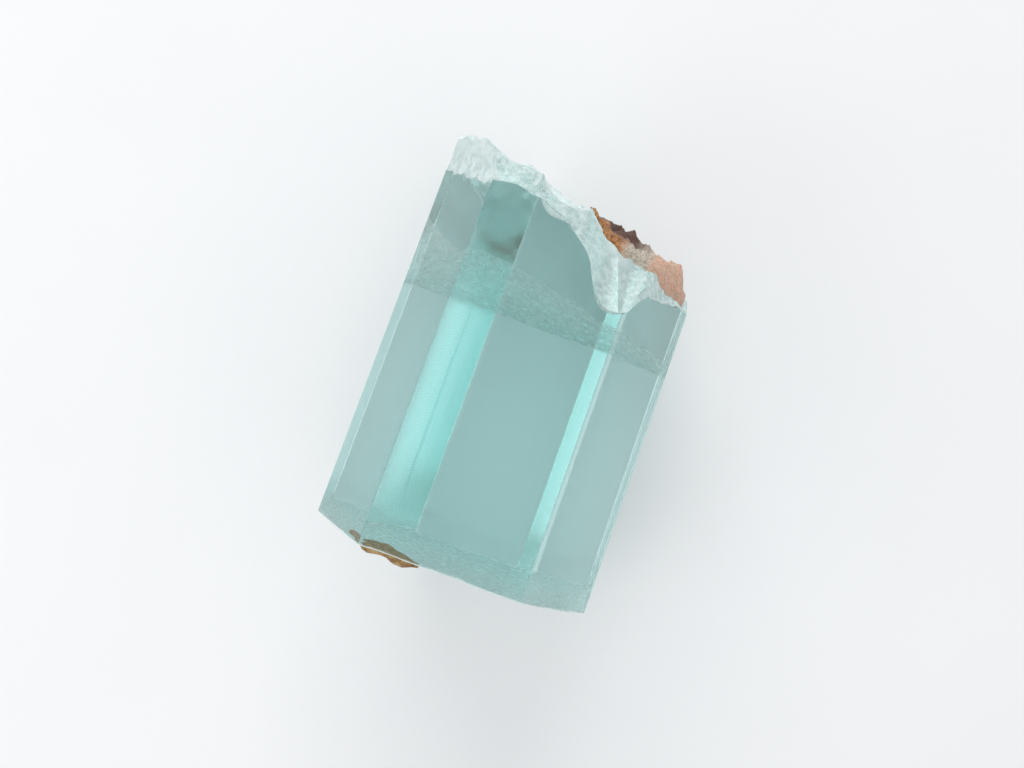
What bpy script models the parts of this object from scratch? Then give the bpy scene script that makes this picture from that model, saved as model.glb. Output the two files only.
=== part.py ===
"""Rough aquamarine: a six-sided beryl prism that lies on one of its prism faces.

One end is flat and carries a thin iron crust. The other end is broken across and keeps a remnant of the
feldspar that the crystal grew on. X runs across the prism, Y along it towards the broken end, Z up.
Shapes are worked out in millimetres and turned into metres when the meshes are made.
"""

import math

import bmesh
import bpy
import numpy as np
from mathutils import Vector
from mathutils.geometry import delaunay_2d_cdt

MM = 0.001

# Prism: height over the face it lies on, height of its axis, and narrowing and sideways lean per millimetre
# towards the broken end
PRISM_HEIGHT = 25.5
AXIS_HEIGHT = 12.75
TAPER = 0.0009
LEAN = -0.0062

# Prism faces, anticlockwise: direction of the outward normal in degrees, distance from the axis, wear of the
# edge where the face starts, and growth steps as (place along the face, distance from the axis after it)
PRISM_FACES = (
    (30.0, 12.58, 0.14, ((-6.05, 12.62), (0.50, 12.55))),
    (90.0, 12.75, 0.12, ()),
    (150.0, 13.28, 0.14, ()),
    (210.0, 9.94, 0.14, ((-3.20, 9.82), (4.10, 9.88))),
    (270.0, 12.75, 0.18, ()),
    (330.0, 12.27, 0.16, ((-2.60, 12.33), (3.10, 12.37))),
)
STEP_WIDTH = 0.16

# Flat end: its place along Y, and the slightly turned facet at its right
FLAT_END = -18.10
FACET_FROM = 7.3
FACET_SLOPE = 0.18

# Broken end, seen from above: where the break starts on the upper faces, and the line of its rear wall
FRONT_X = (-8.0, -6.0, -4.7, -1.4, -0.2, 1.5, 2.8, 3.9, 4.6, 5.1, 6.2, 7.1, 7.6, 8.5, 9.2, 10.5, 12.6)
FRONT_Y = (16.5, 16.8, 16.6, 15.6, 15.2, 13.9, 12.7, 10.6, 9.6, 9.3, 9.2, 9.0, 9.6, 11.1, 11.8, 11.9, 12.7)
REAR_X = (-13.0, -11.4, -8.5, -4.3, 1.3, 4.25, 5.5, 7.6, 9.3, 12.1, 13.5)
REAR_Y = (20.6, 20.7, 19.9, 19.1, 17.5, 15.8, 15.1, 14.2, 13.9, 13.8, 13.4)
REAR_LEAN = 0.06
REAR_LEAN_TOP = 22.5
BREAK_SLOPE_X = (-8.0, 4.0, 14.0)
BREAK_SLOPE = (2.6, 1.8, 2.0)
LOWER_LEDGE = 0.7
RIPPLE_LENGTH = 2.3
RIPPLE_HEIGHT = 0.12

# Rough rind on the upper left face beside the break
RIND_DEPTH = 0.15
RIND_STEP = 0.35
RIND_FROM_VERTEX = 17.5
RIND_FROM_RIDGE = 16.2

# Feldspar matrix on the rear wall: outline in the cross-section, and thickness across it
MATRIX_OUTLINE = (
    (1.4, 18.4), (2.3, 19.7), (4.2, 20.3), (6.5, 20.0), (8.7, 19.5), (10.2, 18.8), (11.2, 17.5),
    (12.7, 15.5), (13.4, 14.4), (13.6, 13.3), (12.8, 11.7), (11.4, 9.7), (10.6, 7.8), (9.2, 6.1),
    (7.0, 4.8), (5.2, 5.1), (4.4, 7.1), (2.9, 8.5), (2.6, 11.1), (1.6, 12.7), (2.2, 15.1), (1.2, 16.7),
)
MATRIX_X = (1.2, 1.9, 5.1, 6.7, 8.1, 10.1, 10.8, 12.0, 12.9, 13.6)
MATRIX_THICK = (0.35, 0.5, 1.4, 1.7, 2.3, 2.2, 2.3, 1.9, 1.3, 0.6)

# Iron crust on the flat end: outline in the cross-section, and its lump
CRUST_OUTLINE = (
    (-7.5, 24.9), (-7.8, 23.8), (-7.3, 22.1), (-7.9, 20.4), (-7.1, 18.7), (-6.0, 17.6), (-5.3, 18.4),
    (-4.8, 20.1), (-3.7, 21.3), (-3.2, 22.7), (-2.7, 23.7), (-2.3, 24.5), (-2.9, 25.1), (-5.2, 25.1),
)
CRUST_THICK = 0.26
CRUST_LUMP = (-4.1, 24.3)
CRUST_LUMP_HEIGHT = 0.34

# Gap between pieces that touch
CONTACT_GAP = 0.3


def on_face(angle, distance, along):
    """Point on the line of a prism face, `along` millimetres from the foot of its normal."""
    turn = math.radians(angle)
    u = distance * math.cos(turn) - along * math.sin(turn)
    v = distance * math.sin(turn) + along * math.cos(turn)
    return np.array((u, AXIS_HEIGHT + v))


def face_distance(uv, angle, distance):
    """How far points lie inside the line of a prism face."""
    turn = math.radians(angle)
    return distance - uv[:, 0] * math.cos(turn) - (uv[:, 1] - AXIS_HEIGHT) * math.sin(turn)


def corner_between(before, after):
    """Point where the lines of two neighbouring prism faces meet."""
    angles = np.radians((before[0], after[0]))
    normals = np.stack((np.cos(angles), np.sin(angles)), axis=1)
    u, v = np.linalg.solve(normals, (before[1], after[1]))
    return np.array((u, AXIS_HEIGHT + v))


def along_face(angle):
    turn = math.radians(angle)
    return np.array((-math.sin(turn), math.cos(turn)))


def prism_corners():
    """Corners of the cross-section, anticlockwise, with worn edges and growth steps, and each one's face."""
    corners = []
    faces = []
    for index, (angle, distance, wear, steps) in enumerate(PRISM_FACES):
        last_angle, last_distance, _, last_steps = PRISM_FACES[index - 1]
        if last_steps:
            last_distance = last_steps[-1][1]
        corner = corner_between((last_angle, last_distance), (angle, distance))
        corners.append(corner - wear * along_face(last_angle))
        corners.append(corner + wear * along_face(angle))
        faces += [last_angle, angle]
        for along, after in steps:
            corners.append(on_face(angle, distance, along))
            corners.append(on_face(angle, after, along + STEP_WIDTH))
            faces += [angle, angle]
            distance = after
    return np.array(corners), faces


def divided(points, spacing):
    """The closed outline through `points` with its sides divided, and the corner before each new point."""
    made = []
    source = []
    for index, start in enumerate(points):
        end = points[(index + 1) % len(points)]
        count = max(1, round(math.dist(start, end) / spacing))
        for step in range(count):
            made.append(start + (end - start) * (step / count))
            source.append(index)
    return np.array(made), source


def rim_distance(points, rim):
    """Distance from each point to the closed outline `rim`."""
    nearest = np.full(len(points), np.inf)
    for start, end in zip(rim, np.roll(rim, -1, axis=0)):
        side = end - start
        share = np.clip((points - start) @ side / max(side @ side, 1e-12), 0.0, 1.0)
        gap = points - start - share[:, None] * side
        nearest = np.minimum(nearest, np.hypot(gap[:, 0], gap[:, 1]))
    return nearest


def inside(points, rim):
    """Which points lie inside the closed outline `rim`."""
    found = np.zeros(len(points), bool)
    for start, end in zip(rim, np.roll(rim, -1, axis=0)):
        if start[1] == end[1]:
            continue
        crosses = (points[:, 1] < start[1]) != (points[:, 1] < end[1])
        meets = start[0] + (points[:, 1] - start[1]) * (end[0] - start[0]) / (end[1] - start[1])
        found ^= crosses & (points[:, 0] < meets)
    return found


def points_within(rim, spacing, margin):
    """Points of a triangular grid inside the outline, at least `margin` from it."""
    low = rim.min(axis=0)
    high = rim.max(axis=0)
    rows = np.arange(low[1], high[1], spacing * math.sqrt(3) / 2)
    grid = []
    for index, v in enumerate(rows):
        shift = spacing / 2 if index % 2 else 0.0
        grid += [(u, v) for u in np.arange(low[0] + shift, high[0], spacing)]
    grid = np.array(grid)
    keep = inside(grid, rim) & (rim_distance(grid, rim) > margin)
    return grid[keep]


def triangles_over(rim, inner):
    """Triangles over the outline and the points inside it, as indices into the two taken together."""
    points = [Vector(point) for point in np.vstack((rim, inner))]
    ring = [(index, (index + 1) % len(rim)) for index in range(len(rim))]
    made = delaunay_2d_cdt(points, ring, [], 1, 1e-6)
    source = [first[0] for first in made[3]]
    return [tuple(source[corner] for corner in face) for face in made[2]]


def flats(uv, seed, size, height, tilt, crispness):
    """Height of a surface made of tilted flats, each about `size` across, that meet in narrow creases."""
    rng = np.random.default_rng(seed)
    low = np.array((-18.0, -4.0))
    high = np.array((19.0, 28.0))
    count = int(np.prod(high - low) / size**2)
    centres = rng.uniform(low, high, (count, 2))
    level = rng.uniform(-height, height, count)
    slope = rng.normal(0.0, tilt, (count, 2))
    across = uv[:, None, 0] - centres[:, 0]
    up = uv[:, None, 1] - centres[:, 1]
    reach = np.hypot(across, up)
    weight = np.exp(-crispness * (reach - reach.min(axis=1, keepdims=True)))
    surface = level + slope[:, 0] * across + slope[:, 1] * up
    return (weight * surface).sum(axis=1) / weight.sum(axis=1)


def rise(value, low, high):
    """A soft step from 0 at `low` to 1 at `high`."""
    share = np.clip((value - low) / (high - low), 0.0, 1.0)
    return share * share * (3.0 - 2.0 * share)


def flat_end(uv):
    """Place along Y of the flat end."""
    u, v = uv.T
    facet = FACET_SLOPE * np.maximum(u - FACET_FROM, 0.0)
    growth = 0.09 * rise(12.0 + 0.35 * u - v, -0.2, 0.2) + 0.07 * rise(u + 0.5 * v - 3.0, -0.2, 0.2)
    return FLAT_END - facet + growth + flats(uv, 5, 5.0, 0.05, 0.008, 4.0)


def rear_wall(uv):
    """Place along Y of the broken end's rear wall, before its roughness."""
    u, v = uv.T
    wall = np.interp(u, REAR_X, REAR_Y) + REAR_LEAN * (REAR_LEAN_TOP - v)
    return wall - LOWER_LEDGE * rise(8.6 + 0.22 * u - v, 0.0, 0.7)


def broken_end(uv):
    """Place along Y of the broken end."""
    u, v = uv.T
    depth = np.minimum(PRISM_HEIGHT - v, face_distance(uv, 30.0, 12.58))
    slope = np.interp(u, FRONT_X, FRONT_Y) + np.interp(u, BREAK_SLOPE_X, BREAK_SLOPE) * depth
    from_start = np.hypot(u + 7.0, v - 28.5)
    ripples = RIPPLE_HEIGHT * np.sin(2 * np.pi * from_start / RIPPLE_LENGTH)
    hackles = flats(uv, 11, 3.6, 0.26, 0.15, 8.0) + flats(uv, 12, 1.7, 0.08, 0.11, 9.0)
    settled = 0.35 + 0.65 * rise(depth, 2.5, 6.5)
    return np.minimum(slope, rear_wall(uv)) + settled * (ripples + hackles)


def matrix_thickness(uv):
    """Thickness of the feldspar, thin at its outline and lumpy between."""
    u, v = uv.T
    rim = np.array(MATRIX_OUTLINE)
    edge = rim_distance(uv, rim)
    body = np.interp(u, MATRIX_X, MATRIX_THICK)
    shoulder = rise(20.4 - v, 0.0, 3.4) * rise(v, 3.5, 8.0)
    lumps = flats(uv, 21, 2.6, 0.28, 0.20, 6.0) + flats(uv, 22, 1.3, 0.12, 0.16, 8.0)
    full = body * (0.35 + 0.65 * shoulder) + lumps * np.minimum(body / 2.0, 1.0)
    return 0.35 + np.maximum(full - 0.35, 0.0) * (0.35 + 0.65 * rise(edge, 0.0, 1.3))


def crust_thickness(uv):
    """Thickness of the iron crust, with one lump near the crystal's upper edge."""
    u, v = uv.T
    reach = np.hypot((u - CRUST_LUMP[0]) / 1.5, (v - CRUST_LUMP[1]) / 1.2)
    lump = CRUST_LUMP_HEIGHT * (1.0 - rise(reach, 0.35, 1.0))
    thin = rise(rim_distance(uv, np.array(CRUST_OUTLINE)), 0.0, 0.7)
    return CRUST_THICK + lump + (0.10 + flats(uv, 31, 1.3, 0.10, 0.08, 8.0)) * thin


def placed(uv, y):
    """Points of the cross-section at places along Y, with the prism's taper and lean."""
    scale = 1.0 - TAPER * y
    return np.stack((uv[:, 0] * scale + LEAN * y, y, uv[:, 1] * scale), axis=1)


def solid_between(rings, first_inner, first_faces, last_inner, last_faces):
    """Vertices and faces of a closed solid: a wall through the rings, and caps on the first and last."""
    count = len(rings[0])
    vertices = np.vstack((*rings, first_inner, last_inner))
    last_ring = (len(rings) - 1) * count
    after_rings = len(rings) * count
    after_first = after_rings + len(first_inner)
    faces = []
    for level in range(len(rings) - 1):
        for index in range(count):
            following = (index + 1) % count
            low = level * count
            high = low + count
            faces.append((low + index, low + following, high + following))
            faces.append((low + index, high + following, high + index))
    for face in first_faces:
        faces.append(tuple(i if i < count else after_rings + i - count for i in face))
    for face in last_faces:
        faces.append(tuple(last_ring + i if i < count else after_first + i - count for i in face))
    return vertices, faces


def crystal_solid():
    """The beryl prism, with its flat end, broken end and the recessed rind at the upper left of the break."""
    corners, corner_faces = prism_corners()
    rim, source = divided(corners, 0.95)
    on = np.array([corner_faces[index] for index in source])
    vertex = corner_between(PRISM_FACES[2], PRISM_FACES[3])
    ridge = corner_between(PRISM_FACES[1], PRISM_FACES[2])
    below = np.clip(1.0 - (vertex[1] - rim[:, 1]) / 4.0, 0.0, 1.0)
    rind = np.where(on == 150.0, 1.0, np.where(on == 210.0, below, 0.0))
    share = np.clip((rim[:, 1] - vertex[1]) / (ridge[1] - vertex[1]), 0.0, 1.0)
    rind_from = RIND_FROM_VERTEX + (RIND_FROM_RIDGE - RIND_FROM_VERTEX) * share
    inward = (rind * RIND_DEPTH * (0.5 + 0.5 * share))[:, None] * np.array((0.94, -0.34))
    flat = flat_end(rim)
    recessed = rim + inward
    broken = broken_end(recessed)
    turn = np.minimum(rind_from, broken - 0.5)
    rings = [placed(rim, flat)]
    for part in (0.3, 0.6, 0.85):
        rings.append(placed(rim, flat + (turn - flat) * part))
    rings.append(placed(rim, turn))
    rings.append(placed(recessed, turn + RIND_STEP))
    roughness = 0.06 * rind * flats(rim * 1.7, 41, 2.0, 1.0, 0.0, 8.0)
    half = (turn + RIND_STEP + broken) / 2
    rings.append(placed(recessed - roughness[:, None] * np.array((0.94, -0.34)), half))
    rings.append(placed(recessed, broken))
    flat_inner = points_within(rim, 1.5, 0.6)
    broken_inner = points_within(rim, 0.86, 0.5)
    return solid_between(
        rings,
        placed(flat_inner, flat_end(flat_inner)),
        triangles_over(rim, flat_inner),
        placed(broken_inner, broken_end(broken_inner)),
        triangles_over(recessed, broken_inner),
    )


def relief(base, uv, direction, reach):
    """How far the surface `base` stands out along Y within `reach` of each point, above the point itself."""
    here = base(uv)
    found = np.zeros(len(uv))
    for turn in np.radians(np.arange(0, 360, 45)):
        aside = reach * np.array((math.cos(turn), math.sin(turn)))
        found = np.maximum(found, direction * (base(uv + aside) - here))
    return found


def layer_solid(outline, spacing, base, direction, thickness):
    """A layer on an end of the prism, which starts CONTACT_GAP or more off the surface `base`."""
    rim, _ = divided(np.array(outline), spacing)
    inner = points_within(rim, spacing, 0.45 * spacing)
    faces = triangles_over(rim, inner)
    low = []
    high = []
    for uv in (rim, inner):
        gap = np.maximum(CONTACT_GAP, 0.15 + relief(base, uv, direction, 0.5))
        top = np.maximum(gap + 0.25, CONTACT_GAP + thickness(uv))
        low.append(placed(uv, base(uv) + direction * gap))
        high.append(placed(uv, base(uv) + direction * top))
    return solid_between((low[0], high[0]), low[1], faces, high[1], faces)


def surface_material(name, colour, roughness, transmission=0.0):
    material = bpy.data.materials.new(name)
    material.use_nodes = True
    shader = material.node_tree.nodes["Principled BSDF"]
    shader.inputs["Base Color"].default_value = (*colour, 1.0)
    shader.inputs["Roughness"].default_value = roughness
    shader.inputs["Metallic"].default_value = 0.0
    shader.inputs["Transmission Weight"].default_value = transmission
    shader.inputs["IOR"].default_value = 1.577 if transmission else 1.5
    return material


def add_node(name, vertices, faces, material):
    """One closed mesh object, facing outwards."""
    shape = bmesh.new()
    made = [shape.verts.new(Vector(point)) for point in vertices]
    for face in faces:
        shape.faces.new([made[index] for index in face])
    bmesh.ops.recalc_face_normals(shape, faces=shape.faces)
    mesh = bpy.data.meshes.new(name)
    shape.to_mesh(mesh)
    shape.free()
    mesh.materials.append(material)
    node = bpy.data.objects.new(name, mesh)
    bpy.context.scene.collection.objects.link(node)
    return node


def clear_scene():
    for item in list(bpy.data.objects):
        bpy.data.objects.remove(item, do_unlink=True)


def main():
    clear_scene()
    solids = {
        "aquamarine_crystal": crystal_solid(),
        "feldspar_matrix": layer_solid(MATRIX_OUTLINE, 0.86, broken_end, 1.0, matrix_thickness),
        "iron_crust": layer_solid(CRUST_OUTLINE, 0.62, flat_end, -1.0, crust_thickness),
    }
    materials = {
        "aquamarine_crystal": surface_material("aquamarine", (0.34, 0.60, 0.57), 0.08, 1.0),
        "feldspar_matrix": surface_material("feldspar", (0.49, 0.33, 0.22), 0.75),
        "iron_crust": surface_material("limonite", (0.38, 0.26, 0.13), 0.85),
    }
    points = np.vstack([vertices for vertices, _ in solids.values()])
    low = points.min(axis=0)
    high = points.max(axis=0)
    origin = np.array(((low[0] + high[0]) / 2, (low[1] + high[1]) / 2, low[2]))
    for name, (vertices, faces) in solids.items():
        add_node(name, (vertices - origin) * MM, faces, materials[name])


if __name__ == "__main__":
    main()
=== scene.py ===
import math

import bmesh
import bpy
import numpy as np
from bpy.props import FloatProperty, FloatVectorProperty, PointerProperty
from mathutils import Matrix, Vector
from mathutils.geometry import delaunay_2d_cdt


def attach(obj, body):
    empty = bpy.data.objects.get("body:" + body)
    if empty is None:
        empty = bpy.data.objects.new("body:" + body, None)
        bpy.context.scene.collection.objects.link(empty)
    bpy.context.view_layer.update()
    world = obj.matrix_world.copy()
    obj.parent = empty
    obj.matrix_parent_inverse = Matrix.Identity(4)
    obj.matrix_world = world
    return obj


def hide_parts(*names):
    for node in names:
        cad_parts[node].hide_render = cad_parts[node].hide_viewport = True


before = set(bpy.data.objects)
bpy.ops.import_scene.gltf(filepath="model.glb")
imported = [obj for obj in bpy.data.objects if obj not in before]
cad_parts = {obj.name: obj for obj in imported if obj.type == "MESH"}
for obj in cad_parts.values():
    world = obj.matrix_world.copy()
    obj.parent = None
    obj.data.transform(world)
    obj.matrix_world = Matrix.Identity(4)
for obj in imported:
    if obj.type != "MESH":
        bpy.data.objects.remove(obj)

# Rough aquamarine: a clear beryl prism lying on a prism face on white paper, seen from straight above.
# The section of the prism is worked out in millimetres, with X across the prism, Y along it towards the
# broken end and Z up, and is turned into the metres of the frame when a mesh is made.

bl_info = {
    "name": "Rough aquamarine",
    "version": (1, 0, 0),
    "blender": (4, 5, 0),
    "location": "View3D > Sidebar > Aquamarine",
    "description": "Builds a rough aquamarine prism with its crack, matrix and crust, on white paper",
    "category": "Object",
}

MM = 0.001
BODY = "root"

# Place of the prism's axis in the frame
AXIS_X = -0.6294
AXIS_Y = -1.2756

# Prism: height over the face it lies on, height of its axis, and its narrowing and lean per millimetre
PRISM_HEIGHT = 25.5
AXIS_HEIGHT = 12.75
TAPER = 0.0009
LEAN = -0.0062

# Prism faces, anticlockwise: direction of the outward normal in degrees, distance from the axis, wear of
# the edge where the face starts, and growth steps as (place along the face, distance after it)
PRISM_FACES = (
    (30.0, 12.58, 0.05, ((-6.05, 12.61), (0.50, 12.59))),
    (90.0, 12.75, 0.04, ()),
    (150.0, 13.28, 0.05, ()),
    (210.0, 9.94, 0.06, ((-3.20, 9.935), (4.10, 9.94))),
    (270.0, 12.75, 0.09, ()),
    (330.0, 12.27, 0.08, ((-2.60, 12.275), (3.10, 12.27))),
)
STEP_WIDTH = 0.16

# The two lower side faces, by the direction of their normals
LOWER_FACES = (210.0, 330.0)

# Flat end: its place along Y, the slightly turned facet at its right, and its growth steps, whose lines
# are a slope and a place
FLAT_END = -18.10
FACET_FROM = 7.3
FACET_SLOPE = 0.18
LOW_STEP = 0.09
LOW_STEP_LINE = (0.35, 12.0)
RIGHT_STEP = 0.07
RIGHT_STEP_LINE = (0.5, 3.0)
STEP_SOFTNESS = 0.2

# Broken end, seen from above: where the break starts on the upper faces, and the line of its rear wall
FRONT_X = (-8.0, -6.0, -4.7, -1.4, -0.2, 1.5, 2.8, 3.9, 4.6, 5.1, 6.2, 7.1, 7.6, 8.5, 9.2, 10.5, 12.6)
FRONT_Y = (16.5, 16.8, 16.6, 15.6, 15.2, 13.9, 12.7, 10.6, 9.6, 9.3, 9.2, 9.0, 9.6, 11.1, 11.8, 11.9, 12.7)
REAR_X = (-13.0, -11.4, -8.5, -4.3, 1.3, 4.25, 5.5, 7.6, 9.3, 12.1, 13.5)
REAR_Y = (20.6, 20.7, 19.9, 19.1, 17.5, 15.8, 15.1, 14.2, 13.9, 13.8, 13.4)
REAR_LEAN = 0.06
REAR_LEAN_TOP = 22.5
BREAK_SLOPE_X = (-8.0, 4.0, 14.0)
BREAK_SLOPE = (2.6, 1.8, 2.0)
LOWER_LEDGE = 0.7
LOWER_LEDGE_LINE = (0.22, 8.6)
LOWER_LEDGE_WIDTH = 0.7
RIPPLE_START = (-7.0, 28.5)
RIPPLE_LENGTH = 2.3
RIPPLE_HEIGHT = 0.12

# Roughness of the break: its share near the upper faces, the depths between which it grows to full, the
# stretch of its crumbs, and the small ledges across it
SHALLOW_SHARE = 0.35
ROUGHER_FROM = 2.5
ROUGH_FROM = 6.5
CRUMB_STRETCH = (1.0, 1.6)
LEDGES_PER_MM = 1.9
LEDGE_WANDER = 0.5
LEDGE_HEIGHT = 0.10
FINE_RELIEF_FROM = 0.5

# Rough rind on the upper left face beside the break
RIND_DEPTH = 0.15
RIND_STEP = 0.35
RIND_FROM_VERTEX = 17.5
RIND_FROM_RIDGE = 16.2
RIND_BELOW = 4.0
RIND_OUTWARD = (-0.94, 0.34)
RIND_WAVES = ((0.12, 2.3), (0.08, 5.1))
RIND_LEAST_LENGTH = 0.5
RIND_PARTS = (0.12, 0.24, 0.36, 0.48, 0.6, 0.72, 0.84, 0.94)
RIND_CHIP_STRETCH = 1.7
RIND_LIFT = 0.04
RIND_CHIP_LIFT = 0.05

# Rings of the prism's wall: just behind the flat end, along the glassy part, and just before the rind
END_RINGS = ((0.10, 0.25), (0.22, 0.0))
WALL_PARTS = (0.15, 0.3, 0.45, 0.6, 0.75, 0.9)
BEFORE_RIND = 0.15

# Frost of the rind at its start, after its step and over the rest, and of the break at and under its edge
RIND_START_FROST = 0.6
RIND_STEP_FROST = 0.8
RIND_FROST = 0.75
BREAK_EDGE_FROST = 0.55
BREAK_FROST_FROM = 2.0
BREAK_FROST_FULL = 5.0

# Feldspar matrix on the rear wall: outline in the cross-section, and thickness across it
MATRIX_OUTLINE = (
    (1.4, 18.4), (2.3, 19.7), (4.2, 20.3), (6.5, 20.0), (8.7, 19.5), (10.2, 18.8), (11.2, 17.5),
    (12.7, 15.5), (13.4, 14.4), (13.6, 13.3), (12.8, 11.7), (11.4, 9.7), (10.6, 7.8), (9.2, 6.1),
    (7.0, 4.8), (5.2, 5.1), (4.4, 7.1), (2.9, 8.5), (2.6, 11.1), (1.6, 12.7), (2.2, 15.1), (1.2, 16.7),
)
MATRIX_X = (1.2, 1.9, 5.1, 6.7, 8.1, 10.1, 10.8, 12.0, 12.9, 13.6)
MATRIX_THICK = (0.35, 0.5, 1.4, 1.7, 2.3, 2.2, 2.3, 1.9, 1.3, 0.6)
MATRIX_THINNEST = 0.35
MATRIX_LEAST_SHARE = 0.35
MATRIX_TOP = 20.4
MATRIX_SHOULDER = 3.4
MATRIX_FOOT = (3.5, 8.0)
MATRIX_EDGE = 1.3
MATRIX_LUMPY_FROM = 2.0

# A layer grown on an end: how far it sinks into the beryl, its least height over it, and the spacing of
# the crust's points
MATRIX_SUNK = 0.06
CRUST_SUNK = 0.05
LAYER_LEAST = 0.12
CRUST_SPACING = 0.16

# Iron crust on the flat end: outline in the cross-section, and its lump
CRUST_OUTLINE = (
    (-7.5, 24.9), (-7.8, 23.8), (-7.3, 22.1), (-7.9, 20.4), (-7.1, 18.7), (-6.0, 17.6), (-5.3, 18.4),
    (-4.8, 20.1), (-3.7, 21.3), (-3.2, 22.7), (-2.7, 23.7), (-2.3, 24.5), (-2.9, 25.1), (-5.2, 25.1),
)
CRUST_THICK = 0.26
CRUST_LUMP = (-4.1, 24.3)
CRUST_LUMP_SIZE = (1.5, 1.2)
CRUST_LUMP_TOP = 0.35
CRUST_LUMP_HEIGHT = 0.34
CRUST_EDGE = 0.7
CRUST_SWELL = 0.10

# Main healed fracture: where it meets the upper faces, and its foot on the lower faces
FRACTURE_X = (-13.4, -12.5, -10.6, -8.5, -6.85, -4.9, -2.9, -0.3, 2.3, 5.4, 8.7, 11.4, 13.8)
FRACTURE_Y = (12.9, 12.0, 10.7, 9.7, 10.4, 10.2, 9.9, 9.4, 8.8, 8.05, 7.7, 7.45, 7.4)
FRACTURE_FOOT = 6.1
FRACTURE_SHARE = 0.992
FRACTURE_SPACING = 0.6
FILM_HALF = 0.01

# Span of the section that the flats of a rough surface are scattered over, and how many points of it are
# worked out at once
FLATS_LOW = (-18.0, -4.0)
FLATS_HIGH = (19.0, 28.0)
FLATS_AT_ONCE = 4000

# Refractive index of beryl
BERYL_IOR = 1.577

# Colours in the feldspar, its quartz, rust and iron, and in the crust
FELDSPAR_SPECK = (0.27, 0.11, 0.06, 1.0)
FELDSPAR_CRACK = (0.22, 0.09, 0.05, 1.0)
QUARTZ_LIGHT = (0.55, 0.50, 0.42, 1.0)
QUARTZ_DARK = (0.30, 0.24, 0.18, 1.0)
OCHRE_LIGHT = (0.50, 0.24, 0.07, 1.0)
OCHRE_DARK = (0.20, 0.07, 0.03, 1.0)
IRON_DARK = (0.035, 0.018, 0.014, 1.0)
IRON_LIGHT = (0.15, 0.06, 0.035, 1.0)
LIMONITE_SHADE = (0.27, 0.14, 0.05, 1.0)
LIMONITE_HOLLOW = (0.12, 0.05, 0.02, 1.0)

# Camera: width of its sensor in millimetres, and the nearest and farthest metres that it sees
SENSOR_WIDTH = 36.0
CAMERA_REACH = (0.005, 20.0)

# Paper: half its side, and how far it lies under the stone, in metres
PAPER_HALF = 1.2
PAPER_GAP = 0.00005

# Lights: size, and place as metres to the picture's right, to its top and up from the paper
WINDOW_SIZE = (0.6, 0.45)
WINDOW_PLACE = (-0.04, 0.62, 0.33)
WINDOW_TARGET = (0.0, 0.0, 0.01)
SIDE_SIZE = (0.2, 0.2)
SIDE_PLACE = (-0.26, -0.10, 0.15)
SIDE_TARGET = (-0.06, 0.0, 0.0)

# Room: its colour, and the heights of a direction between which it goes from the horizon's to the ceiling's
ROOM_COLOUR = (0.97, 0.985, 1.0, 1.0)
HORIZON_UP_TO = 0.1
CEILING_FROM = 0.9


# Section of the prism


def on_face(angle, distance, along):
    """Point on the line of a prism face, `along` millimetres from the foot of its normal."""
    turn = math.radians(angle)
    u = distance * math.cos(turn) - along * math.sin(turn)
    v = distance * math.sin(turn) + along * math.cos(turn)
    return np.array((u, AXIS_HEIGHT + v))


def face_distance(uv, angle, distance):
    """How far points lie inside the line of a prism face."""
    turn = math.radians(angle)
    return distance - uv[:, 0] * math.cos(turn) - (uv[:, 1] - AXIS_HEIGHT) * math.sin(turn)


def corner_between(before, after):
    """Point where the lines of two neighbouring prism faces meet."""
    angles = np.radians((before[0], after[0]))
    normals = np.stack((np.cos(angles), np.sin(angles)), axis=1)
    u, v = np.linalg.solve(normals, (before[1], after[1]))
    return np.array((u, AXIS_HEIGHT + v))


def along_face(angle):
    turn = math.radians(angle)
    return np.array((-math.sin(turn), math.cos(turn)))


def prism_corners():
    """Corners of the section, anticlockwise, with worn edges and growth steps, and each one's face."""
    corners = []
    faces = []
    for index, (angle, distance, wear, steps) in enumerate(PRISM_FACES):
        last_angle, last_distance, _, last_steps = PRISM_FACES[index - 1]
        if last_steps:
            last_distance = last_steps[-1][1]
        corner = corner_between((last_angle, last_distance), (angle, distance))
        corners.append(corner - wear * along_face(last_angle))
        corners.append(corner + wear * along_face(angle))
        faces += [last_angle, angle]
        for along, after in steps:
            corners.append(on_face(angle, distance, along))
            corners.append(on_face(angle, after, along + STEP_WIDTH))
            faces += [angle, angle]
            distance = after
    return np.array(corners), faces


def divided(points, spacing):
    """The closed outline through `points` with its sides divided, and the corner before each new point."""
    made = []
    source = []
    for index, start in enumerate(points):
        end = points[(index + 1) % len(points)]
        count = max(1, round(math.dist(start, end) / spacing))
        for step in range(count):
            made.append(start + (end - start) * (step / count))
            source.append(index)
    return np.array(made), source


def rim_distance(points, rim):
    """Distance from each point to the closed outline `rim`."""
    nearest = np.full(len(points), np.inf)
    for start, end in zip(rim, np.roll(rim, -1, axis=0)):
        side = end - start
        share = np.clip((points - start) @ side / max(side @ side, 1e-12), 0.0, 1.0)
        gap = points - start - share[:, None] * side
        nearest = np.minimum(nearest, np.hypot(gap[:, 0], gap[:, 1]))
    return nearest


def inside(points, rim):
    """Which points lie inside the closed outline `rim`."""
    found = np.zeros(len(points), bool)
    for start, end in zip(rim, np.roll(rim, -1, axis=0)):
        if start[1] == end[1]:
            continue
        crosses = (points[:, 1] < start[1]) != (points[:, 1] < end[1])
        meets = start[0] + (points[:, 1] - start[1]) * (end[0] - start[0]) / (end[1] - start[1])
        found ^= crosses & (points[:, 0] < meets)
    return found


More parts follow.
